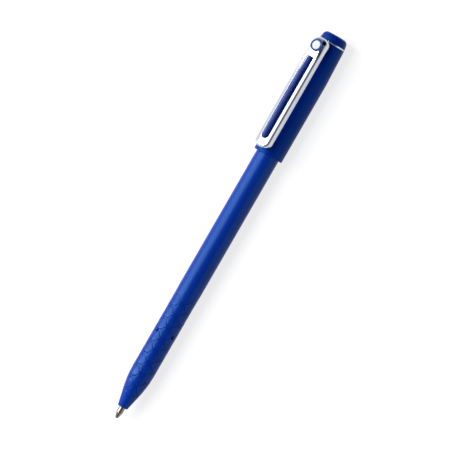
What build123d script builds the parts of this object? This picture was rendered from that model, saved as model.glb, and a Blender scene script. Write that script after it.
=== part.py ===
from build123d import *
import os
from math import atan, cos, sin, sqrt

# A stick ballpoint pen, lying level with its cap posted on the rear end and its clip upwards.
# Lengths are in millimetres and angles in degrees.
# A station is a distance along the pen, measured from the front of the writing ball.

# Whole pen
pen_length = 141.0  # writing ball to the back of the barrel plug
press_clearance = 0.02  # between pieces that are pushed together for good
cut_overrun = 1.0  # how far a cutter reaches past the faces it cuts

# Writing ball and metal tip
ball_diameter = 1.0
ball_clearance = 0.02
ball_exposure = 0.3
lip_wall = 0.06
tip_cone_length = 1.6
tip_cone_step = 0.15  # from the cone's back up to the tip's full radius
tip_diameter = 2.3
tip_exposed_length = 2.4
tip_seat_length = 3.0
tip_shank_diameter = 1.6
tip_shank_length = 4.0
ball_channel_diameter = 0.5
shank_bore_diameter = 0.9

# Tip holder and refill
holder_wall = 0.88
holder_body_length = 6.0
spigot_length = 6.0
spigot_wall = 0.48
tube_bore_diameter = 2.2
tube_wall = 0.5
tube_end_gap = 9.5  # from the tube's open end to the barrel plug
follower_length = 7.0
follower_headspace = 13.0  # empty tube behind the grease

# Barrel
barrel_diameter = 8.7
barrel_wall = 1.25
grip_relief = 0.08  # how much the grip lies inside the barrel's radius
grip_length = 29.0
grip_shoulder_length = 4.0
barrel_draft = 0.04  # how much the rear thins, on the radius, where the cap is posted
draft_setback = 2.45  # from the cap's rim to where the draft starts
nose_wall = 0.68
nose_length = 15.0
nose_cone_share = 0.71  # where the nose cone, drawn on, would reach the grip's width
nose_edge_radius = 0.35
bore_taper_length = 8.0
barrel_end_chamfer = 0.2
vent_count = 4
vent_length = 1.3
vent_width = 0.75
vent_setback = 29.9  # from the nose end
vent_turn = -11.2  # first vent, round from the clip's side of the pen

# Barrel plug
plug_head_thickness = 1.2
plug_head_setback = 0.2
plug_head_radius = 0.3
plug_stem_length = 5.0
plug_stem_wall = 0.88
plug_vent_diameter = 0.9

# Cap
cap_tube_length = 44.9
cap_wall = 0.88
cap_bore_gap = 0.27  # round the posted barrel, between the ribs
cap_taper_length = 13.4
cap_top_inset = 0.525  # how much the taper narrows the cap, on the radius
cap_rim_radius = 0.3
cap_neck_length = 4.0
cap_neck_inset = 0.6  # from the throat in to the neck
cap_throat_length = 4.4
cap_throat_inset = 0.72  # from the bore in to the throat's end
posting_gap = 6.35  # free space in the cap behind the posted barrel
rib_count = 6
rib_width = 0.9
rib_length = 14.0
rib_setback = 8.0
rib_clearance = 0.03  # between the grip ribs and the barrel

# Domed end plug of the cap
dome_height = 3.15
dome_setback = 0.045  # from the cap's top edge in to the dome
dome_shoulder_inset = 0.5
dome_crown_height = 0.2
dome_round_radius = 1.7
dome_stem_wall = 1.28
dome_core_depth = 4.6

# Pressed clip and its collar
clip_sheet = 0.5
collar_proud = 0.05  # collar beyond the cap's top edge
clip_width = 6.66
clip_standoff = 3.1  # clip face above the cap, at its middle line
clip_arch_radius = 9.4  # of the face, across the clip
clip_setback = 1.3  # free end from the cap's rim
clip_end_radius = 2.5
clip_root_radius = 2.5
clip_inner_bend = 0.4
flange_clearance = 1.39  # between the cap and the flanges' lowest edges
flange_rise = 0.4  # how much the flanges shorten towards both ends
leg_inset = 2.03  # from the clip's sides in to its leg
clip_flex_gap = 0.15  # between the clip's leg and its collar
rail_width = 1.83  # on each side of the slot
slot_end_setback = 3.2  # from the clip's free end
slot_root_setback = 7.8  # from the clip's root
slot_corner_radius = 0.5

# Round badge on the clip
badge_setback = 3.38  # centre from the clip's root
badge_margin = 1.0  # from the clip's sides in to the badge
bezel_height = 0.3
bezel_floor = 0.12
bezel_rim = 0.75
bezel_chamfer = 0.1
inlay_rise = 0.1

# Radii that several pieces share
ball_radius = ball_diameter / 2
tip_radius = tip_diameter / 2
shank_radius = tip_shank_diameter / 2
holder_radius = shank_radius + press_clearance + holder_wall
tube_bore_radius = tube_bore_diameter / 2
barrel_radius = barrel_diameter / 2
grip_radius = barrel_radius - grip_relief
bore_radius = barrel_radius - barrel_wall
cap_bore_radius = barrel_radius + cap_bore_gap
cap_radius = cap_bore_radius + cap_wall
cap_top_radius = cap_radius - cap_top_inset
throat_radius = cap_bore_radius - cap_throat_inset
neck_radius = throat_radius - cap_neck_inset
collar_radius = cap_top_radius + collar_proud
bezel_radius = clip_width / 2 - badge_margin

# Stations that several pieces share
tip_shoulder = ball_exposure + tip_cone_length
nose_end = tip_shoulder + tip_exposed_length
holder_front = nose_end + tip_seat_length
shank_end = holder_front + tip_shank_length
holder_back = holder_front + holder_body_length
spigot_end = holder_back + spigot_length
barrel_end = pen_length - plug_head_thickness
plug_front = barrel_end - plug_stem_length
tube_end = plug_front - tube_end_gap
follower_end = tube_end - follower_headspace
ink_end = follower_end - follower_length
neck_end = pen_length + posting_gap
cap_top = neck_end + cap_neck_length
cap_rim = cap_top - cap_tube_length
clip_end = cap_rim + clip_setback
dome_base = cap_top + clip_sheet
overall_length = dome_base + dome_height

# Heights of the clip above the pen's axis
clip_face = cap_radius + clip_standoff
flange_low = sqrt(cap_radius**2 - (clip_width / 2) ** 2) + flange_clearance

# The finished part lies on the cap's underside, centred along its length.
place = Pos(-overall_length / 2, 0, cap_radius)


def turned(*points):
    """A solid of revolution with straight sides, from (station, radius) corners."""
    return revolve(make_face(Polyline(*points, close=True)), Axis.X)


def rod(radius, start, end):
    """A round bar along the pen's axis."""
    return turned((start, 0), (start, radius), (end, radius), (end, 0))


def corner_nearest(face, point):
    """The corner of a flat face that lies nearest a point."""
    return face.vertices().sort_by_distance((*point, 0))[0]


def save(name, solid):
    """Put a piece in its place on the finished part and write it."""
    export_step(place * solid, f"parts/{name}.step")


def make_writing_ball():
    """The hard ball that rolls the ink on."""
    return Pos(ball_radius, 0, 0) * Sphere(ball_radius)


def make_writing_tip():
    """A turned metal tip, spun over the ball at its lip and drilled for the ink."""
    socket_radius = ball_radius + ball_clearance
    mouth_radius = sqrt(socket_radius**2 - (ball_radius - ball_exposure) ** 2)
    body = turned(
        (ball_exposure, 0),
        (ball_exposure, mouth_radius + lip_wall),
        (tip_shoulder, tip_radius - tip_cone_step),
        (tip_shoulder, tip_radius),
        (holder_front, tip_radius),
        (holder_front, shank_radius),
        (shank_end, shank_radius),
        (shank_end, 0),
    )
    socket = Pos(ball_radius, 0, 0) * Sphere(socket_radius)
    channel = rod(ball_channel_diameter / 2, ball_radius, shank_end + cut_overrun)
    shank_bore = rod(shank_bore_diameter / 2, holder_front, shank_end + cut_overrun)
    return body - socket - channel - shank_bore


def make_tip_holder():
    """The plastic plug that joins the metal tip to the ink tube."""
    socket_radius = shank_radius + press_clearance
    spigot_radius = tube_bore_radius - press_clearance
    passage_radius = spigot_radius - spigot_wall
    return turned(
        (holder_front, socket_radius),
        (holder_front, holder_radius),
        (holder_back, holder_radius),
        (holder_back, spigot_radius),
        (spigot_end, spigot_radius),
        (spigot_end, passage_radius),
        (shank_end, passage_radius),
        (shank_end, socket_radius),
    )


def make_refill_tube():
    """The ink tube, pushed over the holder's spigot."""
    tube = rod(tube_bore_radius + tube_wall, holder_back, tube_end)
    return tube - rod(tube_bore_radius, holder_back - cut_overrun, tube_end + cut_overrun)


def make_ink_column():
    """The paste ink that fills most of the tube."""
    return rod(tube_bore_radius - press_clearance, spigot_end, ink_end)


def make_ink_follower():
    """The grease plug that follows the ink down the tube."""
    return rod(tube_bore_radius - press_clearance, ink_end, follower_end)


def make_barrel():
    """The moulded barrel: ogive nose, grip and plain rear, hollow all the way."""
    tip_hole_radius = tip_radius + press_clearance
    pocket_radius = holder_radius + press_clearance
    nose_corner = (nose_end, tip_hole_radius + nose_wall)
    cone_run = nose_cone_share * nose_length
    cone_angle = atan((grip_radius - nose_corner[1]) / cone_run)
    blend_run = nose_length - cone_run
    cone_end = (
        nose_end + cone_run - blend_run * cos(cone_angle),
        grip_radius - blend_run * sin(cone_angle),
    )
    grip_start = (nose_end + nose_length, grip_radius)
    grip_end = nose_end + nose_length + grip_length
    end_radius = barrel_radius - barrel_draft
    outline = Line(nose_corner, cone_end)
    outline += TangentArc(cone_end, grip_start, tangent=(cos(cone_angle), sin(cone_angle)))
    outline += Polyline(
        grip_start,
        (grip_end, grip_radius),
        (grip_end + grip_shoulder_length, barrel_radius),
        (cap_rim - draft_setback, barrel_radius),
        (barrel_end - barrel_end_chamfer, end_radius),
        (barrel_end, end_radius - barrel_end_chamfer),
        (barrel_end, bore_radius),
        (holder_back + bore_taper_length, bore_radius),
        (holder_back, pocket_radius),
        (holder_front, pocket_radius),
        (holder_front, tip_hole_radius),
        (nose_end, tip_hole_radius),
        nose_corner,
    )
    half = make_face(outline)
    half = fillet(corner_nearest(half, nose_corner), nose_edge_radius)
    barrel = revolve(half, Axis.X)
    vent = extrude(SlotOverall(vent_length, vent_width), barrel_radius + cut_overrun)
    vent = Pos(nose_end + vent_setback, 0, 0) * vent
    for index in range(vent_count):
        barrel -= Rot(X=vent_turn + 360 / vent_count * index) * vent
    return barrel


def make_barrel_plug():
    """The vented plug that closes the back of the barrel."""
    head_corner = (pen_length, barrel_radius - plug_head_setback)
    stem_radius = bore_radius - press_clearance
    core_radius = stem_radius - plug_stem_wall
    outline = Polyline(
        (plug_front, core_radius),
        (plug_front, stem_radius),
        (barrel_end, stem_radius),
        (barrel_end, head_corner[1]),
        head_corner,
        (pen_length, plug_vent_diameter / 2),
        (barrel_end, plug_vent_diameter / 2),
        (barrel_end, core_radius),
        close=True,
    )
    half = make_face(outline)
    half = fillet(corner_nearest(half, head_corner), plug_head_radius)
    return revolve(half, Axis.X)


def make_cap_tube():
    """The moulded cap, tapered towards its top, with ribs inside that hold the barrel."""
    rim_corner = (cap_rim, cap_radius)
    outline = Polyline(
        (cap_rim, cap_bore_radius),
        rim_corner,
        (cap_top - cap_taper_length, cap_radius),
        (cap_top, cap_top_radius),
        (cap_top, neck_radius),
        (neck_end, neck_radius),
        (neck_end, throat_radius),
        (neck_end - cap_throat_length, cap_bore_radius),
        close=True,
    )
    half = make_face(outline)
    half = fillet(corner_nearest(half, rim_corner), cap_rim_radius)
    tube = revolve(half, Axis.X)
    rib_start = cap_rim + rib_setback
    rib_end = rib_start + rib_length
    rib_root = cap_bore_radius + cap_wall / 2
    rib_tip = barrel_radius + rib_clearance
    rib = rod(rib_root, rib_start, rib_end) - rod(rib_tip, rib_start - cut_overrun, rib_end + cut_overrun)
    rib &= Pos(rib_start + rib_length / 2, 0, rib_root / 2) * Box(rib_length, rib_width, rib_root)
    for index in range(rib_count):
        tube += Rot(X=360 / rib_count * (index + 1 / 2)) * rib
    return tube


def make_cap_end_plug():
    """The domed plug that closes the cap and clamps the clip's collar."""
    stem_radius = neck_radius - press_clearance
    dome_radius = cap_top_radius - dome_setback
    shoulder = (overall_length - dome_crown_height, dome_radius - dome_shoulder_inset)
    crown = (overall_length, 0)
    outline = Polyline(
        crown,
        (neck_end, 0),
        (neck_end, stem_radius),
        (dome_base, stem_radius),
        (dome_base, dome_radius),
        shoulder,
    )
    outline += TangentArc(crown, shoulder, tangent=(0, 1))
    half = make_face(outline)
    half = fillet(corner_nearest(half, shoulder), dome_round_radius)
    core = rod(stem_radius - dome_stem_wall, neck_end - cut_overrun, neck_end + dome_core_depth)
    return revolve(half, Axis.X) - core


def make_clip_collar():
    """The clip's ring, held between the cap and its domed plug."""
    ring = rod(collar_radius, cap_top, dome_base)
    return ring - rod(neck_radius, cap_top - cut_overrun, dome_base + cut_overrun)


def clip_plan(inset):
    """The clip's outline from above, drawn in by an inset: round free end, squarer root."""
    front = clip_end + inset
    back = dome_base - inset
    side = clip_width / 2 - inset
    plan = Pos((front + back) / 2, 0) * Rectangle(back - front, 2 * side)
    plan = fillet([corner_nearest(plan, (front, y)) for y in (-side, side)], clip_end_radius - inset)
    return fillet([corner_nearest(plan, (back, y)) for y in (-side, side)], clip_root_radius - inset)


def clip_arch(inset):
    """A round bar whose top is the clip's arched face, lowered by an inset."""
    bar = rod(clip_arch_radius - inset, clip_end - cut_overrun, dome_base + cut_overrun)
    return Pos(0, 0, clip_face - clip_arch_radius) * bar


def clip_block(inset, edge_radius):
    """A block of the clip's outline, drawn in on all sides, with an arched top and a rounded top edge."""
    low = flange_low - cut_overrun - inset
    block = Pos(0, 0, low) * extrude(clip_plan(inset), clip_face - low) & clip_arch(inset)
    return fillet(block.faces().sort_by(Axis.Z)[-1].edges(), edge_radius)


def make_clip_arm():
    """The pressed steel clip: a long slotted tray with deep flanges and a leg to its collar."""
    tray = clip_block(0, clip_inner_bend + clip_sheet) - clip_block(clip_sheet, clip_inner_bend)
    middle = ((clip_end + dome_base) / 2, flange_low)
    edge_start = (clip_end, flange_low + flange_rise)
    edge_end = (dome_base, flange_low + flange_rise)
    below = flange_low - 2 * cut_overrun
    trim = ThreePointArc(edge_start, middle, edge_end)
    trim += Polyline(edge_end, (dome_base, below), (clip_end, below), edge_start)
    tray -= extrude(Plane.XZ * make_face(trim), clip_width, both=True)
    slot_width = clip_width - 2 * rail_width
    slot_side = slot_width / 2
    slot_back = dome_base - slot_root_setback
    slot_round = clip_end + slot_end_setback + slot_side
    slot = Pos((slot_round + slot_back) / 2, 0) * Rectangle(slot_back - slot_round, slot_width)
    square_corners = [corner_nearest(slot, (slot_back, y)) for y in (-slot_side, slot_side)]
    slot = fillet(square_corners, slot_corner_radius)
    slot += Pos(slot_round, 0) * Circle(slot_side)
    tray -= Pos(0, 0, clip_face - clip_sheet - cut_overrun) * extrude(slot, clip_sheet + 2 * cut_overrun)
    leg_height = clip_face - clip_sheet - clip_inner_bend
    leg = Box(clip_sheet, clip_width - 2 * leg_inset, leg_height)
    leg = Pos(dome_base - clip_sheet / 2, 0, leg_height / 2) * leg
    leg &= extrude(clip_plan(0), leg_height)
    leg -= rod(collar_radius + clip_flex_gap, cap_top - cut_overrun, dome_base + cut_overrun)
    return tray + leg


def badge_turned(*points):
    """A round piece of the badge, from (radius, height above the clip) corners."""
    outline = Plane.XZ * make_face(Polyline(*points, close=True))
    return Pos(dome_base - badge_setback, 0, clip_face) * revolve(outline, Axis.Z)


def make_badge_bezel():
    """The enamelled cup that frames the badge, hollowed below to sit on the clip's arch."""
    cup = badge_turned(
        (0, -clip_sheet),
        (bezel_radius, -clip_sheet),
        (bezel_radius, bezel_height - bezel_chamfer),
        (bezel_radius - bezel_chamfer, bezel_height),
        (bezel_radius - bezel_rim, bezel_height),
        (bezel_radius - bezel_rim, bezel_floor),
        (0, bezel_floor),
    )
    return cup - clip_arch(0)


def make_badge_inlay():
    """The plain disc in the cup, a little crowned."""
    edge = bezel_radius - bezel_rim - press_clearance
    return badge_turned(
        (0, bezel_floor),
        (edge, bezel_floor),
        (edge, bezel_height),
        (edge - inlay_rise, bezel_height + inlay_rise / 2),
        (0, bezel_height + inlay_rise),
    )


os.makedirs("parts", exist_ok=True)
save("writing_ball", make_writing_ball())
save("writing_tip", make_writing_tip())
save("tip_holder", make_tip_holder())
save("refill_tube", make_refill_tube())
save("ink_column", make_ink_column())
save("ink_follower", make_ink_follower())
save("barrel", make_barrel())
save("barrel_plug", make_barrel_plug())
save("cap_tube", make_cap_tube())
save("cap_end_plug", make_cap_end_plug())
save("clip_collar", make_clip_collar())
save("clip_arm", make_clip_arm())
save("badge_bezel", make_badge_bezel())
save("badge_inlay", make_badge_inlay())
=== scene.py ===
import math

import bmesh
import bpy
from mathutils import Matrix, Vector


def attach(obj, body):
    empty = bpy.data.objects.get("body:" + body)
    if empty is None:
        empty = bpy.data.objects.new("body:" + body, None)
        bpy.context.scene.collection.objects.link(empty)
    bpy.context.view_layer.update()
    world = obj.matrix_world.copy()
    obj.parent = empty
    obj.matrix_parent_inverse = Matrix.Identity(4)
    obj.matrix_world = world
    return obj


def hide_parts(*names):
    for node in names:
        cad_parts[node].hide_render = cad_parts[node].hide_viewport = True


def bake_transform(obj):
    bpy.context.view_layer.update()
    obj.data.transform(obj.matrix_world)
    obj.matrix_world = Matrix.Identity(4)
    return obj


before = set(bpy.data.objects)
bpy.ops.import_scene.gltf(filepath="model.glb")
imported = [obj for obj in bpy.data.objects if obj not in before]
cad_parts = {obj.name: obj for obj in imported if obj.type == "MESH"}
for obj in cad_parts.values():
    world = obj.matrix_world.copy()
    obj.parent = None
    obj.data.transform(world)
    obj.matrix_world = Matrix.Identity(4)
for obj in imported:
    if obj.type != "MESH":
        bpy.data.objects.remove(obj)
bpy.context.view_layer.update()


# Writing ball: a ball of sintered hard metal, ground and polished, one millimetre across.
# It rolls in the socket of the tip and carries a thin film of blue ink on its face.
def node(tree, kind, inputs=None, **options):
    """Adds a node to a tree, sets its options, and links or sets its inputs by name or number."""
    made = tree.nodes.new(kind)
    for name, value in options.items():
        setattr(made, name, value)
    for name, value in (inputs or {}).items():
        if isinstance(name, str):
            socket = next(one for one in made.inputs if one.enabled and one.name == name)
        else:
            socket = made.inputs[name]
        if isinstance(value, bpy.types.NodeSocket):
            tree.links.new(value, socket)
        else:
            socket.default_value = value
    return made


def noise(tree, place, scale, detail):
    """Soft random clouds, from their fineness and their detail."""
    values = {"Vector": place, "Scale": scale, "Detail": detail}
    return node(tree, "ShaderNodeTexNoise", values).outputs["Fac"]


def mixed(tree, share, first, second):
    """A colour that goes from one to another by a share."""
    colours = {"Factor": share, "A": first, "B": second}
    return node(tree, "ShaderNodeMix", colours, data_type="RGBA").outputs[2]


def ranged(tree, value, low, high, start=0.0, end=1.0):
    """A value that goes from low to high as another goes from start to end."""
    limits = {"Value": value, "From Min": start, "From Max": end, "To Min": low, "To Max": high}
    return node(tree, "ShaderNodeMapRange", limits).outputs["Result"]


def finish(name, **plain_values):
    """A new material: itself, its tree, its shader with plain values set, and its object coordinates."""
    material = bpy.data.materials.new(name)
    material.use_nodes = True
    tree = material.node_tree
    shader = tree.nodes["Principled BSDF"]
    for socket, value in plain_values.items():
        shader.inputs[socket.replace("_", " ")].default_value = value
    return material, tree, shader, node(tree, "ShaderNodeTexCoord").outputs["Object"]


def coat(piece, material):
    """Gives a piece one material."""
    piece.data.materials.clear()
    piece.data.materials.append(material)


ball_metal = (0.30, 0.31, 0.35, 1)
ball_ink = (0.02, 0.02, 0.14, 1)
ball_gloss, ball_dull = 0.1, 0.28
film_start, film_end = 0.42, 0.6
ball_finish, tree, shader, place = finish("polished_hard_metal", Metallic=1.0)
film = noise(tree, place, 1800.0, 3.0)
inked = mixed(tree, ranged(tree, film, 0, 1, film_start, film_end), ball_metal, ball_ink)
tree.links.new(inked, shader.inputs["Base Color"])
tree.links.new(ranged(tree, film, ball_gloss, ball_dull), shader.inputs["Roughness"])
coat(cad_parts["writing_ball"], ball_finish)


# Writing tip: nickel silver, turned from wire on a small lathe and drilled through for the ink.
# Its lip is spun over the ball, and its back half is pressed into the nose of the barrel.
pen_half_length = 77.5
axis_height = 5.5


def spot(station, radius, angle):
    """A point of the pen, from millimetres behind the ball's front, millimetres off the axis, and
    degrees round from the clip's side, towards the near side."""
    turn = math.radians(angle)
    across = -radius * math.sin(turn)
    up = axis_height + radius * math.cos(turn)
    return ((station - pen_half_length) / 1000, across / 1000, up / 1000)


def rounded(corners, steps=6):
    """The points of a closed profile whose corners, (along, out, edge radius), are rounded off."""
    points = []
    for index, (along, out, edge) in enumerate(corners):
        corner = Vector((along, out))
        if not edge:
            points.append((along, out))
            continue
        back = (Vector(corners[index - 1][:2]) - corner).normalized()
        ahead = (Vector(corners[(index + 1) % len(corners)][:2]) - corner).normalized()
        half_angle = back.angle(ahead) / 2
        centre = corner + (back + ahead).normalized() * edge / math.sin(half_angle)
        start = corner + back * edge / math.tan(half_angle) - centre
        end = corner + ahead * edge / math.tan(half_angle) - centre
        points += [tuple(centre + start.slerp(end, step / steps) * edge) for step in range(steps + 1)]
    return points


def new_piece(name, corners, faces, sharp_angle=35):
    """A smooth shaded piece from its corners and faces, with its faces turned outwards."""
    mesh = bpy.data.meshes.new(name)
    mesh.from_pydata(corners, [], faces)
    work = bmesh.new()
    work.from_mesh(mesh)
    bmesh.ops.recalc_face_normals(work, faces=work.faces)
    work.to_mesh(mesh)
    work.free()
    mesh.shade_smooth()
    mesh.set_sharp_from_angle(angle=math.radians(sharp_angle))
    piece = bpy.data.objects.new(name, mesh)
    bpy.context.scene.collection.objects.link(piece)
    return piece


def turned(name, profile, segments=96, at=spot):
    """A piece turned from a closed profile of (along, out) points, closed into poles on its axis."""
    corners, faces, rings = [], [], []
    for along, out in profile:
        count = segments if out else 1
        rings.append([len(corners) + step for step in range(count)])
        corners += [at(along, out, 360 * step / segments) for step in range(count)]
    for here, there in zip(rings, rings[1:] + rings[:1]):
        for step in range(segments):
            ahead = step + 1
            face = [here[step % len(here)], here[ahead % len(here)]]
            face += [there[ahead % len(there)], there[step % len(there)]]
            face = list(dict.fromkeys(face))
            if len(face) > 2:
                faces.append(face)
    return new_piece(name, corners, faces)


def sums(tree):
    """A short way to add one step of arithmetic to a tree."""
    def reckon(operation, *values):
        return node(tree, "ShaderNodeMath", dict(enumerate(values)), operation=operation).outputs[0]
    return reckon


def effect(name, inputs):
    """An empty shader group for the skin of several finishes: itself, its inputs and its outputs."""
    outputs = {"Colour": "Color", "Roughness": "Float", "Height": "Float"}
    group = bpy.data.node_groups.new(name, "ShaderNodeTree")
    for direction, sockets in (("INPUT", inputs), ("OUTPUT", outputs)):
        for socket, kind in sockets.items():
            group.interface.new_socket(socket, in_out=direction, socket_type="NodeSocket" + kind)
    return group, node(group, "NodeGroupInput").outputs, node(group, "NodeGroupOutput").inputs


def skinned(tree, shader, group, values):
    """Colours and roughens a finish by a skin's group, and gives the skin's height map."""
    skin = node(tree, "ShaderNodeGroup", values, node_tree=group).outputs
    tree.links.new(skin["Colour"], shader.inputs["Base Color"])
    tree.links.new(skin["Roughness"], shader.inputs["Roughness"])
    return skin["Height"]


def stretched(tree, place, share):
    """Coordinates that draw a pattern out along the pen."""
    return node(tree, "ShaderNodeMapping", {"Vector": place, "Scale": (share, 1, 1)}).outputs["Vector"]


def bump(tree, shader, height, distance):
    """Raises a surface by a height map, with the map's full height in metres."""
    raised = node(tree, "ShaderNodeBump", {"Height": height, "Distance": distance, "Strength": 1.0})
    tree.links.new(raised.outputs["Normal"], shader.inputs["Normal"])


# Fine streaks along the pen and cloudy smudges, as on metal that has been polished and handled.
handled_metal, given, made = effect("handled_metal", {
    "Place": "Vector", "Colour": "Color", "Dulled": "Color",
    "Streaks": "Float", "Gloss": "Float", "Dull": "Float",
})
streaks = noise(handled_metal, stretched(handled_metal, given["Place"], 0.08), given["Streaks"], 2.0)
smudges = noise(handled_metal, given["Place"], 260.0, 4.0)
uneven = sums(handled_metal)("MULTIPLY", streaks, smudges)
smudge_share = ranged(handled_metal, smudges, 0, 1, 0.4, 0.75)
smudged = mixed(handled_metal, smudge_share, given["Colour"], given["Dulled"])
handled_metal.links.new(smudged, made["Colour"])
roughness = ranged(handled_metal, uneven, given["Gloss"], given["Dull"], 0.1, 0.45)
handled_metal.links.new(roughness, made["Roughness"])
handled_metal.links.new(streaks, made["Height"])


def metal_finish(name, colour, dulled, streaks, gloss, dull):
    """A bare or plated metal: its material, tree, shader, coordinates and the height of its streaks."""
    material, tree, shader, place = finish(name, Metallic=1.0)
    values = {"Place": place, "Colour": colour, "Dulled": dulled}
    values |= {"Streaks": streaks, "Gloss": gloss, "Dull": dull}
    return material, tree, shader, place, skinned(tree, shader, handled_metal, values)


lip_front = 0.3
lip_bore = 0.48
lip_radius = 0.545
cone_end = 1.9
cone_radius = 1.0
tip_radius = 1.15
tip_seat_end = 7.3
shank_radius = 0.8
shank_end = 11.3
shank_bore = 0.45
ink_channel = 0.25
socket_mouth = 0.62
tip_profile = rounded([
    (lip_front, lip_bore, 0),
    (lip_front, lip_radius, 0.03),
    (socket_mouth, 0.640, 0),
    (cone_end, cone_radius, 0.04),
    (cone_end + 0.06, 1.090, 0.03),
    (cone_end + 0.14, tip_radius, 0.04),
    (tip_seat_end, tip_radius, 0.05),
    (tip_seat_end, shank_radius, 0),
    (shank_end, shank_radius, 0.05),
    (shank_end, shank_bore, 0),
    (tip_seat_end, shank_bore, 0),
    (7.0, ink_channel, 0),
    (0.96, ink_channel, 0),
    (0.82, 0.410, 0),
    (socket_mouth, 0.505, 0),
    (0.45, 0.515, 0),
])
tip = turned("tip_metal", tip_profile, segments=72)
tip_finish, tree, shader, place, _ = metal_finish(
    "turned_nickel_silver",
    colour=(0.27, 0.25, 0.225, 1),
    dulled=(0.21, 0.195, 0.175, 1),
    streaks=9000.0,
    gloss=0.12,
    dull=0.34,
)
lathe_rings = node(
    tree,
    "ShaderNodeTexWave",
    {"Vector": place, "Scale": 2600.0, "Distortion": 1.5, "Detail": 2.0, "Detail Scale": 3.0},
    wave_type="BANDS",
    bands_direction="X",
).outputs["Fac"]
lathe_ring_height = 1.2e-6
bump(tree, shader, lathe_rings, lathe_ring_height)
coat(tip, tip_finish)
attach(tip, "pen")
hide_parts("writing_tip")


# Tip holder, ink tube, ink and grease: the refill inside the barrel. The holder is an uncoloured
# moulding pressed onto the tip, the tube is extruded clear plastic pushed over its spigot,
# and the tube holds paste ink with a plug of pale grease behind it.
moulded_skin, given, made = effect("moulded_skin", {
    "Place": "Vector", "Colour": "Color", "Flow": "Color",
    "Grain": "Float", "Gloss": "Float", "Dull": "Float",
})
# Flow marks drawn along the pen, and the fine grain of the mould's surface.
flow = noise(moulded_skin, stretched(moulded_skin, given["Place"], 0.25), 180.0, 3.0)
grain = noise(moulded_skin, given["Place"], given["Grain"], 2.0)
flow_share = ranged(moulded_skin, flow, 0, 1, 0.3, 0.7)
moulded_skin.links.new(mixed(moulded_skin, flow_share, given["Colour"], given["Flow"]), made["Colour"])
uneven = sums(moulded_skin)("ADD", flow, grain)
roughness = ranged(moulded_skin, uneven, given["Gloss"], given["Dull"], 0.7, 1.3)
moulded_skin.links.new(roughness, made["Roughness"])
moulded_skin.links.new(grain, made["Height"])


def moulded_finish(name, colour, flow, grain, gloss, dull, relief, **plain_values):
    """A moulded plastic finish, from its colours, its grain's fineness and its range of roughness."""
    material, tree, shader, place = finish(name, **plain_values)
    values = {"Place": place, "Colour": colour, "Flow": flow, "Grain": grain, "Gloss": gloss, "Dull": dull}
    bump(tree, shader, skinned(tree, shader, moulded_skin, values), relief)
    return material


holder_finish = moulded_finish(
    "natural_plastic", colour=(0.80, 0.81, 0.80, 1), flow=(0.72, 0.74, 0.74, 1),
    grain=5000.0, gloss=0.3, dull=0.45, relief=3e-6,
)
tube_finish = moulded_finish(
    "clear_tube", colour=(0.93, 0.95, 0.97, 1), flow=(0.86, 0.89, 0.92, 1),
    grain=3000.0, gloss=0.05, dull=0.14, relief=1e-6,
    Transmission_Weight=1.0, IOR=1.49,
)
ink_finish = moulded_finish(
    "paste_ink", colour=(0.010, 0.014, 0.13, 1), flow=(0.006, 0.008, 0.09, 1),
    grain=900.0, gloss=0.08, dull=0.2, relief=2e-6,
)
grease_finish = moulded_finish(
    "follower_grease", colour=(0.78, 0.72, 0.50, 1), flow=(0.70, 0.63, 0.42, 1),
    grain=700.0, gloss=0.12, dull=0.3, relief=4e-6,
)
coat(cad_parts["tip_holder"], holder_finish)
coat(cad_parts["refill_tube"], tube_finish)
coat(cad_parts["ink_column"], ink_finish)
coat(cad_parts["ink_follower"], grease_finish)


# Barrel: one blue plastic moulding with a round nose, a shallow honeycomb engraved in its grip, four
# air vents through its wall and a plain rear. The tip and its holder are pressed into its nose.
barrel_radius = 4.35
barrel_end = 139.8
barrel_draft = 0.04
draft_start = 104.0
end_chamfer = 0.2
end_edge = 0.1
bore_radius = 3.1
bore_front = 21.3
tip_hole = 1.17
pocket_radius = 1.72
pocket_back = 13.3
nose_end = 4.3
nose_length = 15.0
nose_radius = 1.85
nose_edge = 0.35
nose_cone_share = 0.71
grip_radius = 4.27
grip_start = nose_end + nose_length
grip_end = 48.3
grip_shoulder = 4.0
cone_run = nose_cone_share * nose_length
cone_angle = math.atan((grip_radius - nose_radius) / cone_run)
blend_run = nose_length - cone_run
cone_back = nose_end + cone_run - blend_run * math.cos(cone_angle)
nose_arc = (grip_start - cone_back) / math.sin(cone_angle)
first_line = 9.48
line_pitch = 2.375
line_count = 17
last_line_room = 0.4
groove_depth = 0.15
groove_shape = [(-0.13, 0), (-0.10, 0.06), (-0.075, 0.36), (-0.04, 0.82), (0, 1)]
groove_shape += [(-offset, sink) for offset, sink in reversed(groove_shape[:-1])]
lead_stations = (5.0, 5.6, 6.2, 6.8, 7.3)
rear_stations = (70.0, 88.0, draft_start)
bore_station = 26.0
barrel_segments = 192
barrel_sharp = 38

# Each ring is a station, a radius, a lean along the honeycomb's zigzag, an offset from its groove's
# middle line, a depth share, and whether it is part of the nose and grip.
rings = []
ring_fields = {"lean": 2, "offset": 3, "sink": 4, "skin": 5}


def plain_rings(points):
    """Rings of the barrel that keep the station and radius they are given."""
    return [(along, out, 0, 0, 0, False) for along, out in points]


def skin_ring(station, lean=0.0, offset=0.0, sink=0.0):
    """A ring of the nose and grip, whose radius follows the nose's rule."""
    return (station, grip_radius, lean, offset, sink, True)


def bridge(before, after, shares):
    """Rings between two others, at shares of the way."""
    made = []
    for share in shares:
        station, lean, offset = (
            start + (end - start) * share
            for start, end in ((before[0], after[0]), (before[2], after[2]), (before[3], after[3]))
        )
        made.append(skin_ring(station, lean, offset))
    return made


def nose_at(station):
    """The radius of the nose and grip at a station."""
    if station < cone_back:
        return nose_radius + (station - nose_end) * math.tan(cone_angle)
    return grip_radius - nose_arc + math.sqrt(nose_arc**2 - max(grip_start - station, 0) ** 2)


def eased(share):
    """A share held between nought and one, with soft ends."""
    share = min(max(share, 0), 1)
    return share * share * (3 - 2 * share)


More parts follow.
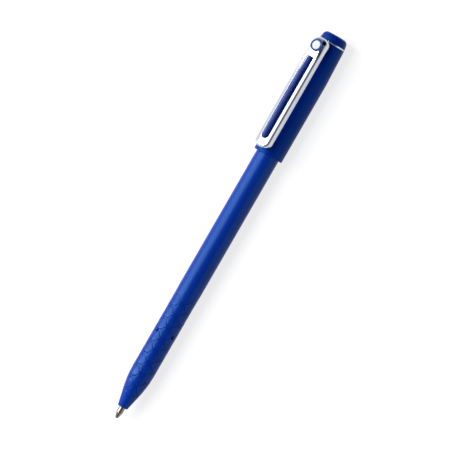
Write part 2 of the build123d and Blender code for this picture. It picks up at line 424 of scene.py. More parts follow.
def joined(ring_count, ring_size):
    """The faces that join rings of points into a closed tube, the last ring to the first."""
    faces = []
    for index in range(ring_count):
        here = index * ring_size
        there = (index + 1) % ring_count * ring_size
        for step in range(ring_size):
            ahead = (step + 1) % ring_size
            faces.append((here + step, here + ahead, there + ahead, there + step))
    return faces


nose_front = rounded([
    (nose_end, tip_hole, 0),
    (nose_end, nose_radius, nose_edge),
    (nose_end + 1, nose_at(nose_end + 1), 0),
])[:-1]
rings += plain_rings(nose_front)
rings += [skin_ring(station) for station in lead_stations]
for line in range(line_count):
    station = first_line + line * line_pitch
    lean = 1 if line % 2 == 0 else -1
    groove = [skin_ring(station, lean, offset, sink) for offset, sink in groove_shape]
    rings += bridge(rings[-1], groove[0], (0.25, 0.5, 0.75)) + groove
grip_close = skin_ring(grip_end + last_line_room)
rings += bridge(rings[-1], grip_close, (0.3, 0.65)) + [grip_close]
rear = [
    (grip_end + grip_shoulder * share, grip_radius + (barrel_radius - grip_radius) * eased(share), 0)
    for share in (0.25, 0.75, 1)
]
rear += [(station, barrel_radius, 0) for station in rear_stations]
rear += [
    (barrel_end - end_chamfer, barrel_radius - barrel_draft, end_edge),
    (barrel_end, barrel_radius - barrel_draft - end_chamfer, end_edge),
    (barrel_end, bore_radius, 0),
    (bore_station, bore_radius, 0),
    (bore_front, bore_radius, 0),
    (pocket_back, pocket_radius, 0),
    (tip_seat_end, pocket_radius, 0),
    (tip_seat_end, tip_hole, 0),
]
rings += plain_rings(rounded(rear))

corners = [
    spot(station, radius, 360 * step / barrel_segments)
    for station, radius, *_ in rings
    for step in range(barrel_segments)
]
barrel_blank = new_piece("barrel_blank", corners, joined(len(rings), barrel_segments))
for name, field in ring_fields.items():
    values = [float(ring[field]) for ring in rings for _ in range(barrel_segments)]
    barrel_blank.data.attributes.new(name, "FLOAT", "POINT").data.foreach_set("value", values)


def node_tree_with(name, inputs):
    """A new geometry tree with named inputs: itself, its input sockets and its output."""
    tree = bpy.data.node_groups.new(name, "GeometryNodeTree")
    tree.interface.new_socket("Geometry", in_out="INPUT", socket_type="NodeSocketGeometry")
    for socket, kind in inputs.items():
        tree.interface.new_socket(socket, in_out="INPUT", socket_type="NodeSocket" + kind)
    tree.interface.new_socket("Geometry", in_out="OUTPUT", socket_type="NodeSocketGeometry")
    return tree, node(tree, "NodeGroupInput").outputs, node(tree, "NodeGroupOutput").inputs["Geometry"]


def settled(name, blank):
    """A plain mesh piece from what a blank's modifiers make of it. The blank is removed."""
    shaped = blank.evaluated_get(bpy.context.evaluated_depsgraph_get())
    mesh = bpy.data.meshes.new_from_object(shaped)
    mesh.name = name
    bpy.data.objects.remove(blank)
    piece = bpy.data.objects.new(name, mesh)
    bpy.context.scene.collection.objects.link(piece)
    return piece


def baked(name, blank, tree, values):
    """A plain mesh piece from a blank with a geometry tree on it and the tree's inputs set."""
    modifier = blank.modifiers.new("tree", "NODES")
    modifier.node_group = tree
    for item in tree.interface.items_tree:
        if item.item_type == "SOCKET" and item.in_out == "INPUT" and item.name in values:
            modifier[item.identifier] = values[item.name]
    return settled(name, blank)


def point(tree, **parts):
    """A point in a tree, from its X, Y and Z."""
    return node(tree, "ShaderNodeCombineXYZ", parts).outputs[0]


def stood_round(tree, shape, count, centre, first, step_turn):
    """Copies of a shape stood round the pen's axis, from a first angle on, made real."""
    index = node(tree, "GeometryNodeInputIndex").outputs[0]
    turn = sums(tree)("MULTIPLY_ADD", index, step_turn, first)
    turned_by = node(tree, "FunctionNodeAxisAngleToRotation", {"Axis": (1, 0, 0), "Angle": turn})
    places = {"Count": count, "Start Location": centre, "Offset": (0, 0, 0)}
    copies = node(
        tree,
        "GeometryNodeInstanceOnPoints",
        {
            "Points": node(tree, "GeometryNodeMeshLine", places).outputs["Mesh"],
            "Instance": shape,
            "Rotation": turned_by.outputs["Rotation"],
        },
    )
    real = {"Geometry": copies.outputs["Instances"]}
    return node(tree, "GeometryNodeRealizeInstances", real).outputs["Geometry"]


def coated_out(tree, shape, material, out):
    """Ends a tree with a shape in its material."""
    coated = node(tree, "GeometryNodeSetMaterial", {"Geometry": shape, "Material": material})
    tree.links.new(coated.outputs["Geometry"], out)


row_turn = 33.8
row_step = 90
line_swing = 0.78
zigzag_slope = 12.0
slant_fade = 2.5
vent_count = 4
vent_station = 34.1
vent_length = 1.3
vent_width = 0.75
vent_reach = 3.0
vent_start_share = 0.6
vent_round_share = 0.49
cutter_weld = 1e-7
grip_sizes = {
    "Row Turn": math.radians(row_turn),
    "Row Step": math.radians(row_step),
    "Swing": line_swing / 1000,
    "Slant Spread": 0.4,
    "Corner Round": 0.5,
    "Groove Depth": groove_depth / 1000,
    "Axis Height": axis_height / 1000,
    "Nose Front": (nose_end - pen_half_length) / 1000,
    "Nose Radius": nose_radius / 1000,
    "Cone Slope": math.tan(cone_angle),
    "Cone Back": (cone_back - pen_half_length) / 1000,
    "Grip Start": (grip_start - pen_half_length) / 1000,
    "Grip Radius": grip_radius / 1000,
    "Nose Arc": nose_arc / 1000,
    "Vent Station": (vent_station - pen_half_length) / 1000,
    "Vent Length": vent_length / 1000,
    "Vent Width": vent_width / 1000,
    "Vent Reach": vent_reach / 1000,
}
grip_tree, given, grip_out = node_tree_with(
    "honeycomb_grip", {**{name: "Float" for name in grip_sizes}, "Vent Count": "Int", "Finish": "Material"}
)
reckon = sums(grip_tree)


def grip_field(name):
    """A value that each ring of the barrel carries."""
    field = node(grip_tree, "GeometryNodeInputNamedAttribute", {"Name": name}, data_type="FLOAT")
    return field.outputs["Attribute"]


position = node(grip_tree, "GeometryNodeInputPosition").outputs[0]
here = node(grip_tree, "ShaderNodeSeparateXYZ", {"Vector": position}).outputs
above_axis = reckon("SUBTRACT", here["Z"], given["Axis Height"])
angle = reckon("ARCTAN2", reckon("MULTIPLY", here["Y"], -1.0), above_axis)
# How far round a point is from the middle of its row, and so how far the zigzag has swung there.
rows_round = reckon("DIVIDE", reckon("SUBTRACT", angle, given["Row Turn"]), given["Row Step"])
turns = reckon("FRACT", reckon("ADD", rows_round, 0.5))
off_row = reckon("MULTIPLY", reckon("ABSOLUTE", reckon("SUBTRACT", turns, 0.5)), zigzag_slope)
swung = reckon("SUBTRACT", off_row, zigzag_slope / 4)
swung = reckon("SMOOTH_MIN", swung, 1.0, given["Corner Round"])
swung = reckon("SMOOTH_MAX", swung, -1.0, given["Corner Round"])
slanted = reckon("MULTIPLY", reckon("SUBTRACT", 1.0, reckon("ABSOLUTE", swung)), slant_fade)
wider = reckon("MULTIPLY_ADD", reckon("MINIMUM", slanted, 1.0), given["Slant Spread"], 1.0)
shift = reckon("MULTIPLY", reckon("MULTIPLY", grip_field("lean"), swung), given["Swing"])
shift = reckon("MULTIPLY_ADD", reckon("MULTIPLY", grip_field("offset"), 1 / 1000), wider, shift)
along = reckon("ADD", here["X"], shift)
# The nose is a cone that runs on into an arc, and the arc into the straight grip.
past_nose = reckon("SUBTRACT", along, given["Nose Front"])
cone = reckon("MULTIPLY_ADD", past_nose, given["Cone Slope"], given["Nose Radius"])
short = reckon("MAXIMUM", reckon("SUBTRACT", given["Grip Start"], along), 0.0)
arc = reckon("SUBTRACT", reckon("POWER", given["Nose Arc"], 2.0), reckon("POWER", short, 2.0))
arc_foot = reckon("SUBTRACT", given["Grip Radius"], given["Nose Arc"])
arc = reckon("ADD", arc_foot, reckon("SQRT", arc))
on_cone = reckon("LESS_THAN", along, given["Cone Back"])
on_arc = reckon("SUBTRACT", 1.0, on_cone)
radius = reckon("ADD", reckon("MULTIPLY", on_cone, cone), reckon("MULTIPLY", on_arc, arc))
radius = reckon("SUBTRACT", radius, reckon("MULTIPLY", grip_field("sink"), given["Groove Depth"]))
seat = point(
    grip_tree,
    X=along,
    Y=reckon("MULTIPLY", reckon("MULTIPLY", radius, reckon("SINE", angle)), -1.0),
    Z=reckon("MULTIPLY_ADD", radius, reckon("COSINE", angle), given["Axis Height"]),
)
on_skin = reckon("GREATER_THAN", grip_field("skin"), 0.5)
engraved = node(
    grip_tree,
    "GeometryNodeSetPosition",
    {"Geometry": given["Geometry"], "Selection": on_skin, "Position": seat},
).outputs["Geometry"]
# A closed slot cutter, stood round the barrel between the rows, for the vents.
vent_line = node(
    grip_tree,
    "GeometryNodeCurvePrimitiveQuadrilateral",
    {"Width": given["Vent Length"], "Height": given["Vent Width"]},
).outputs["Curve"]
vent_line = node(
    grip_tree,
    "GeometryNodeFilletCurve",
    {"Curve": vent_line, "Count": 8, "Radius": reckon("MULTIPLY", given["Vent Width"], vent_round_share)},
    mode="POLY",
).outputs["Curve"]
vent_face = node(grip_tree, "GeometryNodeFillCurve", {"Curve": vent_line}, mode="NGONS").outputs["Mesh"]
vent_base = node(grip_tree, "GeometryNodeFlipFaces", {"Mesh": vent_face}).outputs["Mesh"]
vent_walls = node(
    grip_tree, "GeometryNodeExtrudeMesh", {"Mesh": vent_face, "Offset Scale": given["Vent Reach"]}
).outputs["Mesh"]
vent_shell = node(grip_tree, "GeometryNodeJoinGeometry", {"Geometry": vent_walls})
grip_tree.links.new(vent_base, vent_shell.inputs["Geometry"])
closed_shell = node(
    grip_tree,
    "GeometryNodeMergeByDistance",
    {"Geometry": vent_shell.outputs["Geometry"], "Distance": cutter_weld},
).outputs["Geometry"]
vent_start = point(grip_tree, Z=reckon("MULTIPLY", given["Grip Radius"], vent_start_share))
cutter = node(
    grip_tree, "GeometryNodeTransform", {"Geometry": closed_shell, "Translation": vent_start}
).outputs["Geometry"]
centre = point(grip_tree, X=given["Vent Station"], Z=given["Axis Height"])
first_vent = reckon("MULTIPLY_ADD", given["Row Step"], 0.5, given["Row Turn"])
cutters = stood_round(grip_tree, cutter, given["Vent Count"], centre, first_vent, given["Row Step"])
vented = node(
    grip_tree,
    "GeometryNodeMeshBoolean",
    {"Mesh 1": engraved, "Mesh 2": cutters},
    operation="DIFFERENCE",
    solver="EXACT",
).outputs["Mesh"]
whole = node(grip_tree, "GeometryNodeRealizeInstances", {"Geometry": vented}).outputs["Geometry"]
coated_out(grip_tree, whole, given["Finish"], grip_out)

barrel_finish = moulded_finish(
    "satin_blue_plastic", colour=(0.0, 0.034, 0.380, 1), flow=(0.0, 0.031, 0.355, 1),
    grain=7000.0, gloss=0.24, dull=0.32, relief=1.5e-6,
    Specular_IOR_Level=0.31, Specular_Tint=(0.45, 1.0, 1.0, 1),
)
grip_values = {**grip_sizes, "Vent Count": vent_count, "Finish": barrel_finish}
barrel = baked("barrel_moulding", barrel_blank, grip_tree, grip_values)
for name in ring_fields:
    barrel.data.attributes.remove(barrel.data.attributes[name])
barrel.data.shade_smooth()
barrel.data.set_sharp_from_angle(angle=math.radians(barrel_sharp))
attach(barrel, "pen")
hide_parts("barrel")


# Barrel plug: a small blue moulding pressed into the open rear of the barrel. Its head lies flush
# behind the barrel's end, its stem is hollow, and a pinhole lets air in behind the ink.
plug_front = 134.8
plug_back = 141.0
plug_stem = 3.08
plug_core = 2.20
plug_head = 4.15
pinhole = 0.45
dish_depth = 0.15
plug_profile = rounded([
    (plug_front, plug_core, 0),
    (plug_front, plug_stem, 0.15),
    (barrel_end, plug_stem, 0),
    (barrel_end, plug_head, 0.08),
    (plug_back, plug_head, 0.3),
    (plug_back, 1.35, 0.05),
    (plug_back - dish_depth, 1.20, 0.05),
    (plug_back - dish_depth, pinhole, 0.1),
    (barrel_end, pinhole, 0),
    (barrel_end, plug_core, 0.1),
])
plug = turned("rear_plug", plug_profile)
coat(plug, barrel_finish)
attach(plug, "pen")
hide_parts("barrel_plug")


# Cap: a blue moulding with a fine matt skin, straight from its rim and tapered to its top. It is
# pushed onto the barrel, and six short ribs inside it grip the barrel.
cap_rim = 106.45
cap_top = 151.35
cap_radius = 5.5
cap_bore = 4.62
cap_taper = 13.4
cap_top_radius = 4.975
neck_radius = 3.3
neck_length = 4.0
throat_radius = 3.9
throat_length = 4.4
cap_profile = rounded([
    (cap_rim, cap_bore, 0.12),
    (cap_rim, cap_radius, 0.3),
    (cap_rim + 2.0, cap_radius, 0),
    (cap_top - cap_taper, cap_radius, 6.0),
    (cap_top, cap_top_radius, 0.1),
    (cap_top, neck_radius, 0),
    (cap_top - neck_length, neck_radius, 0),
    (cap_top - neck_length, throat_radius, 0),
    (cap_top - neck_length - throat_length, cap_bore, 0),
], steps=8)
cap = turned("cap_moulding", cap_profile, segments=128)
cap_finish = moulded_finish(
    "matt_blue_plastic", colour=(0.0, 0.0185, 0.312, 1), flow=(0.0, 0.0165, 0.292, 1),
    grain=5200.0, gloss=0.34, dull=0.42, relief=3.5e-6,
    Specular_IOR_Level=0.26, Specular_Tint=(0.12, 1.0, 1.0, 1),
)
coat(cap, cap_finish)
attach(cap, "cap")
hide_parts("cap_tube")

# The ribs, one drawn from side to side and from front to back, then stood round the axis.
rib_count = 6
first_rib = 30
rib_front = 114.45
rib_back = 128.45
rib_run = 0.6
rib_crown = 4.38
rib_foot = 4.67
rib_half = 0.45
rib_round = 0.08
rib_section = [
    (-rib_half, rib_foot), (-rib_half, rib_crown + rib_round), (-rib_half + rib_round, rib_crown),
    (rib_half - rib_round, rib_crown), (rib_half, rib_crown + rib_round), (rib_half, rib_foot),
]
rib_stations = [
    (rib_front, cap_bore - rib_crown), (rib_front + rib_run, 0), (rib_back - rib_run, 0),
    (rib_back, cap_bore - rib_crown),
]
corners = [
    ((station - pen_half_length) / 1000, side / 1000, min(out + lift, rib_foot) / 1000)
    for station, lift in rib_stations
    for side, out in rib_section
]
count = len(rib_section)
faces = [tuple(range(count)), tuple(range(len(corners) - count, len(corners)))]
faces += joined(len(rib_stations), count)[:-count]
rib_blank = new_piece("rib_blank", corners, faces)
rib_sizes = {
    "Rib Count": rib_count,
    "First Rib": math.radians(first_rib),
    "Rib Step": math.radians(360 / rib_count),
    "Axis Height": axis_height / 1000,
    "Finish": cap_finish,
}
rib_sockets = {"Rib Count": "Int", "First Rib": "Float", "Rib Step": "Float"}
rib_sockets |= {"Axis Height": "Float", "Finish": "Material"}
rib_tree, given, rib_out = node_tree_with("cap_ribs", rib_sockets)
stood = stood_round(
    rib_tree, given["Geometry"], given["Rib Count"], point(rib_tree, Z=given["Axis Height"]),
    given["First Rib"], given["Rib Step"],
)
coated_out(rib_tree, stood, given["Finish"], rib_out)
ribs = baked("cap_ribs", rib_blank, rib_tree, rib_sizes)
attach(ribs, "cap")


# Dome: a blue moulding that closes the top of the cap. Its hollow stem is pressed into the cap's
# neck and clamps the clip's collar.
dome_base = 151.85
dome_top = 155.0
dome_radius = 4.93
dome_stem = 3.28
dome_core = 2.0
dome_core_depth = 4.6
stem_front = 147.35
crown_sag = 0.2
shoulder_radius = 4.43
shoulder_round = 1.7
crown_edge = 3.0
dome_profile = rounded([
    (dome_base, dome_stem, 0),
    (dome_base, dome_radius, 0.1),
    (dome_top - crown_sag, shoulder_radius, shoulder_round),
    (dome_top - crown_sag * (crown_edge / shoulder_radius) ** 2, crown_edge, 0),
    (dome_top - crown_sag * 0.2, crown_edge * 0.66, 0),
    (dome_top - crown_sag * 0.05, crown_edge * 0.33, 0),
    (dome_top, 0, 0),
    (stem_front + dome_core_depth, 0, 0),
    (stem_front + dome_core_depth, dome_core, 0),
    (stem_front, dome_core, 0),
    (stem_front, dome_stem, 0.15),
], steps=12)
dome = turned("cap_dome", dome_profile, segments=128)
# Its blue is set darker than the barrel's: painted shade for the dome's side that faces away from the
# light.
dome_shaded_finish = moulded_finish(
    "dome_plastic_painted_shade", colour=(0.0, 0.019, 0.278, 1), flow=(0.0, 0.017, 0.260, 1),
    grain=6500.0, gloss=0.32, dull=0.4, relief=2e-6,
    Specular_IOR_Level=0.2, Specular_Tint=(0.15, 1.0, 1.0, 1),
)
coat(dome, dome_shaded_finish)
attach(dome, "cap")
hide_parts("cap_end_plug")


# Clip: one pressing of sheet steel, slotted, bent down all round, and bright chromed. A leg at its
# root joins it to the collar, which is clamped between the cap and the dome.
clip_front = 107.75
clip_back = dome_base
clip_half = 3.33
clip_sheet = 0.5
clip_face = 8.6
clip_bend = 0.9
clip_end_round = 2.5
clip_root_round = 2.5
root_bend = 2.0
root_bend_start = 143.5
clip_long_crown = 0.1
clip_arch = 9.4
flange_low = 5.77
flange_rise_front = 0.15
flange_rise_root = 0.45
flange_edge = 0.08
leg_half = 1.0
leg_flare = 0.6
leg_sunk = 0.25
slot_front = 110.95
slot_back = 144.05
slot_half = 1.5
slot_corner = 0.5
slot_edge = 0.12
collar_radius = 5.025
collar_bore = neck_radius
collar_edge = 0.08
end_steps, bend_steps, side_steps, root_steps, back_steps = 2, 14, 36, 16, 5
outer_bend_steps, inner_bend_steps = 10, 6


def run(start, end, steps, inward):
    """Points along a straight run, without its end, each with the way in from it."""
    return [(*Vector(start).lerp(Vector(end), step / steps), *inward) for step in range(steps)]


def quarter(centre, radius, start, steps):
    """Points along a quarter turn from an angle in degrees, without its end, each with the way in."""
    points = []
    for step in range(steps):
        turn = math.radians(start - 90 * step / steps)
        along, across = math.cos(turn), math.sin(turn)
        points.append((centre[0] + radius * along, centre[1] + radius * across, -along, -across))
    return points


def mirrored(half):
    """A whole outline from the half on the far side of the clip's middle line."""
    other = reversed(half[1:-1])
    return half + [(along, -across, inward, -sideways) for along, across, inward, sideways in other]


def drawn_in(outline, insets):
    """The points of an outline, each drawn in by its own inset."""
    return [
        (along + inward * inset, across + sideways * inset)
        for (along, across, inward, sideways), inset in zip(outline, insets)
    ]


end_along, end_side = clip_front + clip_end_round, clip_half - clip_end_round
root_along, root_side = clip_back - clip_root_round, clip_half - clip_root_round
clip_line = run((clip_front, 0), (clip_front, end_side), end_steps, (1, 0))
clip_line += quarter((end_along, end_side), clip_end_round, 180, bend_steps)
clip_line += run((end_along, clip_half), (root_along, clip_half), side_steps, (0, -1))
clip_line += quarter((root_along, root_side), clip_root_round, 90, root_steps)
clip_line += run((clip_back, root_side), (clip_back, 0), back_steps, (-1, 0))
clip_line = mirrored(clip_line + [(clip_back, 0, -1, 0)])

round_along = slot_front + slot_half
corner_along, corner_side = slot_back - slot_corner, slot_half - slot_corner
slot_line = quarter((round_along, 0), slot_half, 180, end_steps + bend_steps)
slot_line += run((round_along, slot_half), (corner_along, slot_half), side_steps, (0, -1))
slot_line += quarter((corner_along, corner_side), slot_corner, 90, root_steps)
slot_line += run((slot_back, corner_side), (slot_back, 0), back_steps, (-1, 0))
slot_line = mirrored(slot_line + [(slot_back, 0, -1, 0)])


def from_middle(along):
    """How far a point is from the clip's middle, from -1 at its free end to 1 at its root."""
    middle = (clip_front + clip_back) / 2
    return (along - middle) / (clip_back - middle)


def bend_at(along):
    """The radius of the bend from face to flange, which widens round the root."""
    share = (along - root_bend_start) / (root_along - root_bend_start)
    return clip_bend + (root_bend - clip_bend) * eased(share)


def crown_drop(along, across):
    """How far the clip's face, arched across and a little bowed along, lies below its highest line."""
    return clip_long_crown * from_middle(along) ** 2 + clip_arch - math.sqrt(clip_arch**2 - across**2)


def flange_bottom(along, across):
    """The height of the flange's lower edge, which bows up to both ends, or of the leg's foot."""
    share = from_middle(along)
    low = flange_low + (flange_rise_root if share > 0 else flange_rise_front) * share**2
    leg_share = eased((leg_half + leg_flare / 2 - abs(across)) / leg_flare) if along > root_along else 0
    foot = math.sqrt(collar_radius**2 - across**2) - leg_sunk
    return low + (foot - low) * leg_share


clip_rings = []
bends = [bend_at(along) for along, *_ in clip_line]
lows = [flange_bottom(along, across) for along, across, *_ in clip_line]


def add_ring(points, heights):
    """Adds a ring to the clip from its points from above and their heights above the pen's axis."""
    clip_rings.append([
        ((along - pen_half_length) / 1000, across / 1000, (axis_height + height) / 1000)
        for (along, across), height in zip(points, heights)
    ])


def add_wall(inset, share, lift=0.0):
    """Adds a ring to the flange, at a share of the way up from its lower edge to its bend."""
    points = drawn_in(clip_line, [inset] * len(clip_line))
    highs = [clip_face - bend - crown_drop(*point) for bend, point in zip(bends, points)]
    add_ring(points, [low + lift + (high - low - lift) * share for low, high in zip(lows, highs)])


def add_top(points, drops):
    """Adds a ring to the face, its bend or its underside, at drops below the crowned face."""
    add_ring(points, [clip_face - drop - crown_drop(*point) for point, drop in zip(points, drops)])


def add_between(first, second, shares, drop):
    """Adds rings between two outlines at one drop below the face."""
    for share in shares:
        points = [tuple(Vector(a).lerp(Vector(b), share)) for a, b in zip(first, second)]
        add_top(points, [drop] * len(points))


# Up the outside of the flange, over the bend and across the face to the slot.
add_wall(clip_sheet / 2, 0)
add_wall(flange_edge, 0)
add_wall(flange_edge * 0.3, 0, lift=flange_edge * 0.3)
add_wall(0, 0, lift=flange_edge)
for share in (0.3, 0.6, 0.85):
    add_wall(0, share)
for step in range(outer_bend_steps + 1):
    turn = math.radians(90 * step / outer_bend_steps)
    insets = [bend * (1 - math.cos(turn)) for bend in bends]
    add_top(drawn_in(clip_line, insets), [bend * (1 - math.sin(turn)) for bend in bends])
face_line = drawn_in(clip_line, bends)
slot_lip = drawn_in(slot_line, [-slot_edge] * len(slot_line))
add_between(face_line, slot_lip, (0.15, 0.35, 0.55, 0.75, 0.92, 1), 0)
# Down through the slot, back under the face and down the inside of the flange.
for turn in (math.radians(30), math.radians(60), math.radians(90)):
    points = drawn_in(slot_line, [-slot_edge * (1 - math.sin(turn))] * len(slot_line))
    add_top(points, [slot_edge * (1 - math.cos(turn))] * len(points))
add_top(drawn_in(slot_line, [0] * len(slot_line)), [clip_sheet - slot_edge] * len(slot_line))
add_between(slot_lip, face_line, (0, 0.3, 0.65, 1), clip_sheet)
for step in range(1, inner_bend_steps + 1):
    turn = math.radians(90 * step / inner_bend_steps)
    insets = [bend - (bend - clip_sheet) * math.sin(turn) for bend in bends]
    drops = [clip_sheet + (bend - clip_sheet) * (1 - math.cos(turn)) for bend in bends]
    add_top(drawn_in(clip_line, insets), drops)
for share in (0.6, 0.3):
    add_wall(clip_sheet, share)
add_wall(clip_sheet, 0, lift=flange_edge)
add_wall(clip_sheet - flange_edge, 0)

corners = [corner for ring in clip_rings for corner in ring]
clip_blank = new_piece("clip_blank", corners, joined(len(clip_rings), len(clip_line)))
collar_profile = rounded([
    (cap_top, collar_bore, 0),
    (cap_top, collar_radius, collar_edge),
    (dome_base, collar_radius, collar_edge),
    (dome_base, collar_bore, 0),
])
collar_blank = turned("collar_blank", collar_profile, segments=128)
weld = clip_blank.modifiers.new("weld", "BOOLEAN")
weld.operation = "UNION"
weld.solver = "EXACT"
weld.object = collar_blank
clip = settled("clip_pressing", clip_blank)
bpy.data.objects.remove(collar_blank)
clip.data.shade_smooth()
clip.data.set_sharp_from_angle(angle=math.radians(35))
chrome_finish, tree, shader, _, polish_streaks = metal_finish(
    "bright_chrome",
    colour=(0.735, 0.762, 0.815, 1),
    dulled=(0.690, 0.717, 0.770, 1),
    streaks=5000.0,
    gloss=0.04,
    dull=0.09,
)
polish_depth = 2e-7
bump(tree, shader, polish_streaks, polish_depth)
coat(clip, chrome_finish)
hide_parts("clip_arm", "clip_collar")
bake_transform(clip)


# Badge: a blue enamelled cup with a broad rim and a plain white disc in it, a little domed. It is
# fixed on the clip over its root, where its wall reaches down to the bent face.
badge_station = 148.47
badge_radius = 2.33
badge_height = 0.3
badge_floor = 0.12
badge_rim = 0.75
badge_sunk = 0.05
badge_edge = 0.08
rim_edge = 0.04
cup_rings = (0, 0.8, 1.5, 1.9, 2.15)
badge_segments = 96


def clip_dip(along, across):
    """How far the clip's top lies below its face at a point round its root."""
    back = max(clip_root_round - (clip_back - along), 0)
    side = max(clip_root_round - (clip_half - abs(across)), 0)
    bend = bend_at(along)
    inside = max(bend - clip_root_round + math.hypot(back, side), 0)
    return bend - math.sqrt(bend**2 - min(inside, bend) ** 2)


def badge_spot(up, out, angle):
    """A point of the badge, from its height over the clip's face and its place round the middle. A
    point below the face follows the clip's bent top."""
    turn = math.radians(angle)
    along, across = badge_station + out * math.cos(turn), out * math.sin(turn)
    if up < 0:
        up -= clip_dip(along, across) + crown_drop(along, across)
    return ((along - pen_half_length) / 1000, across / 1000, (axis_height + clip_face + up) / 1000)


bezel_profile = [(-badge_sunk, out) for out in cup_rings]
bezel_profile += rounded([
    (-badge_sunk, badge_radius, 0),
    (badge_height, badge_radius, badge_edge),
    (badge_height, badge_radius - badge_rim, rim_edge),
    (badge_floor, badge_radius - badge_rim, 0),
    (badge_floor, 0, 0),
])
bezel = turned("badge_cup", bezel_profile, segments=badge_segments, at=badge_spot)
bezel_finish = moulded_finish(
    "blue_enamel", colour=(0.0, 0.022, 0.28, 1), flow=(0.0, 0.018, 0.25, 1),
    grain=4000.0, gloss=0.16, dull=0.22, relief=6e-7,
    Specular_IOR_Level=0.2, Specular_Tint=(0.4, 1.0, 1.0, 1),
)
coat(bezel, bezel_finish)
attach(bezel, "clip")
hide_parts("badge_bezel")

inlay_gap = 0.01
inlay_radius = badge_radius - badge_rim - inlay_gap
inlay_top = 0.4
inlay_wall_top = badge_height - 0.05
inlay_shoulder = inlay_radius - 0.04
inlay_profile = [(badge_floor, 0), (badge_floor, inlay_radius), (inlay_wall_top, inlay_radius)]
inlay_profile += [
    (inlay_top - (inlay_top - badge_height) * share**2, inlay_shoulder * share)
    for share in (1, 0.96, 0.9, 0.8, 0.65, 0.5, 0.3, 0.15)
]
inlay_profile += [(inlay_top, 0)]
inlay = turned("badge_disc", inlay_profile, segments=badge_segments, at=badge_spot)
inlay_finish = moulded_finish(
    "white_enamel", colour=(0.80, 0.80, 0.80, 1), flow=(0.76, 0.76, 0.77, 1),
    grain=4000.0, gloss=0.16, dull=0.22, relief=6e-7,
    Specular_IOR_Level=0.2,
)
coat(inlay, inlay_finish)
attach(inlay, "clip")
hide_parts("badge_inlay")


# Floor: a plain pale sheet under the pen. It is lit as any surface is and keeps the pen's shadow,
# and it is lifted to white for the camera and to a pale grey in mirrors.
floor_half = 4.0
floor_grey = (0.28, 0.28, 0.28, 1)
floor_fibre = (0.30, 0.30, 0.30, 1)
floor_lift = 0.78
lift_shares = {"Is Camera Ray": 1.0, "Is Transmission Ray": 1.0, "Is Glossy Ray": 0.74}
floor_corners = [(-floor_half, -floor_half, 0), (floor_half, -floor_half, 0)]
floor_corners += [(floor_half, floor_half, 0), (-floor_half, floor_half, 0)]
floor = new_piece("floor_sheet", floor_corners, [(0, 1, 2, 3)])
floor_finish, tree, shader, place = finish("white_sheet", Roughness=0.9, Specular_IOR_Level=0.0)
fibres = noise(tree, place, 900.0, 2.0)
tree.links.new(mixed(tree, fibres, floor_grey, floor_fibre), shader.inputs["Base Color"])
ray = node(tree, "ShaderNodeLightPath").outputs
reckon = sums(tree)
lift = 0.0
for kind, share in lift_shares.items():
    lift = reckon("MAXIMUM", lift, reckon("MULTIPLY", ray[kind], floor_lift * share))
shader.inputs["Emission Color"].default_value = (1, 1, 1, 1)
tree.links.new(lift, shader.inputs["Emission Strength"])
coat(floor, floor_finish)


# Light: three soft panels side by side overhead, the middle one weaker, that lean to the far side of
# the pen. The room is pale on the far side and low down beyond the tip, dim elsewhere, and black
# in one patch on the near side beyond the cap, where a dark flag stands.
panel_distance = 0.9
panel_depth = 0.94
for name, along, lean, width, radiance in (
    ("middle_panel", 0.0, 20, 0.20, 1.5),
    ("tip_panel", -0.167, 32, 0.134, 9.2),
    ("cap_panel", 0.167, 32, 0.134, 9.2),
):
    panel_way = Vector((0, math.sin(math.radians(lean)), math.cos(math.radians(lean))))
    light = bpy.data.lights.new(name, "AREA")
    light.shape = "RECTANGLE"
    light.size = width
    light.size_y = panel_depth
    light.energy = radiance * math.pi * width * panel_depth
    panel = bpy.data.objects.new(name, light)
    panel.matrix_world = panel_way.to_track_quat("Z", "Y").to_matrix().to_4x4()
    panel.matrix_world.translation = panel_way * panel_distance + Vector((along, 0, 0))
    bpy.context.scene.collection.objects.link(panel)
room = bpy.data.worlds.new("room")
room.use_nodes = True
bpy.context.scene.world = room
room_tree = room.node_tree
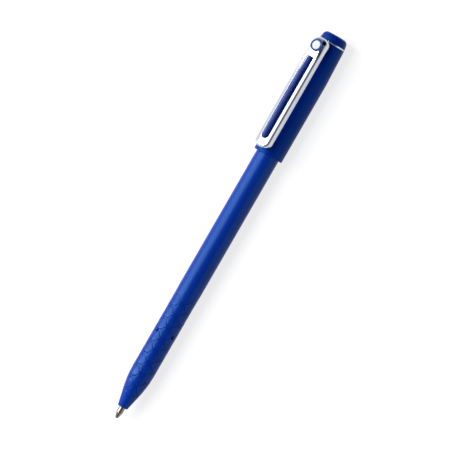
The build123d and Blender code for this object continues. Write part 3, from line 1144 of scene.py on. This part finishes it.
dim = (0.16, 0.165, 0.19, 1)
pale = (0.90, 0.93, 0.98, 1)
flag = (0.0, 0.0, 0.0, 1)
pale_side = (-0.30, 0.92, 0.25)
low_side = (-0.80, -0.60, 0.0)
flag_side = (0.62, -0.55, 0.56)
way = node(room_tree, "ShaderNodeTexCoord").outputs["Generated"]


def towards(side, start, end):
    """A share that goes from nought to one as a direction in the room turns towards a side."""
    turned_to = node(room_tree, "ShaderNodeVectorMath", {0: way, 1: side}, operation="DOT_PRODUCT")
    return ranged(room_tree, turned_to.outputs["Value"], 0, 1, start, end)


height = node(room_tree, "ShaderNodeSeparateXYZ", {"Vector": way}).outputs["Z"]
reckon = sums(room_tree)
low_down = ranged(room_tree, height, 1, 0, start=0.10, end=0.45)
low_glow = reckon("MULTIPLY", low_down, towards(low_side, start=-0.5, end=0.7))
pale_share = reckon("MAXIMUM", towards(pale_side, start=0.0, end=0.95), low_glow)
lit = mixed(room_tree, pale_share, dim, pale)
shaded = mixed(room_tree, towards(flag_side, start=0.80, end=0.90), lit, flag)
room_tree.links.new(shaded, room_tree.nodes["Background"].inputs["Color"])


# Camera: a long lens that looks down on the pen from the near side and is rolled so that the pen
# rises to the right.
tilt = math.radians(32)
roll = math.radians(60.0)
lens = 600
sensor = 36
view_distance = 2.646
aim_along = 0.00018
aim_across = 0.00032
across = Vector((0, math.cos(tilt), math.sin(tilt)))
toward = Vector((0, -math.sin(tilt), math.cos(tilt)))
right = Vector((math.cos(roll), 0, 0)) - across * math.sin(roll)
above = Vector((math.sin(roll), 0, 0)) + across * math.cos(roll)
target = Vector((aim_along, 0, axis_height / 1000)) + across * aim_across
camera_data = bpy.data.cameras.new("camera")
camera_data.lens = lens
camera_data.sensor_width = sensor
camera = bpy.data.objects.new("camera", camera_data)
stand = Matrix((right, above, toward)).transposed().to_4x4()
stand.translation = target + toward * view_distance
camera.matrix_world = stand
bpy.context.scene.collection.objects.link(camera)
bpy.context.scene.camera = camera
bpy.context.scene.view_settings.view_transform = "Standard"
